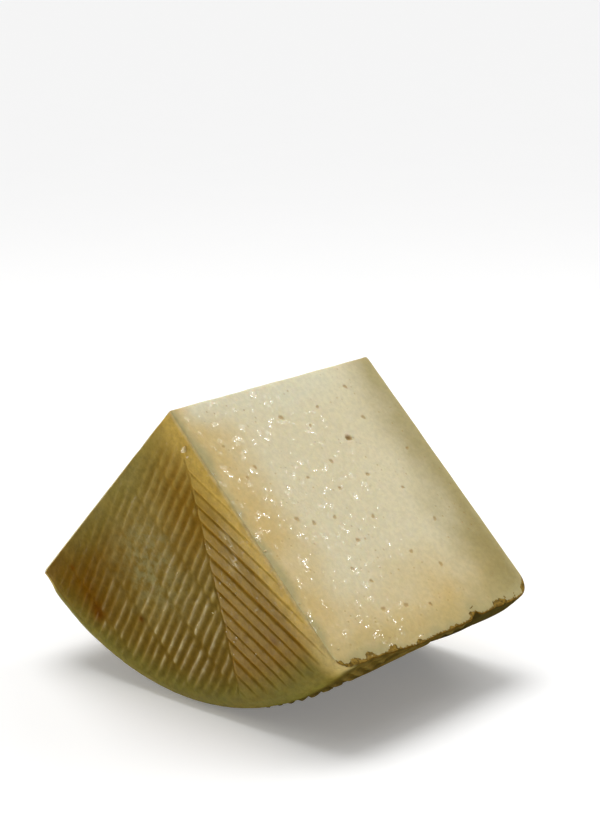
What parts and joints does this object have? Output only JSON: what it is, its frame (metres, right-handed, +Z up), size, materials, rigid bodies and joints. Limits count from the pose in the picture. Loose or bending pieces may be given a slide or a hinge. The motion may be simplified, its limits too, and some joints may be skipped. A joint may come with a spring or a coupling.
{
  "type": "sheep milk cheese quarter wheel",
  "caption": "Quarter of a pressed hard cheese wheel with a plaited imprint in its rind and two smooth cut faces, standing on its round side.",
  "frame": {"origin": "middle of the resting spot, on the surface the cheese stands on, below the middle of the cut tip", "axes": "+Z up, +Y along the wheel's axis from the face with the imprint shown in the picture to the back face, +X to the right of someone who looks at that face"},
  "size_m": [0.1353, 0.09, 0.0946],
  "materials": {
    "cheese": "cream pressed paste, moist and lightly glossy where cut, with an olive brown rind on the flat faces and the round side"
  },
  "bodies": {
    "root": {"cheese_wedge": "cheese"}
  },
  "joints": []
}
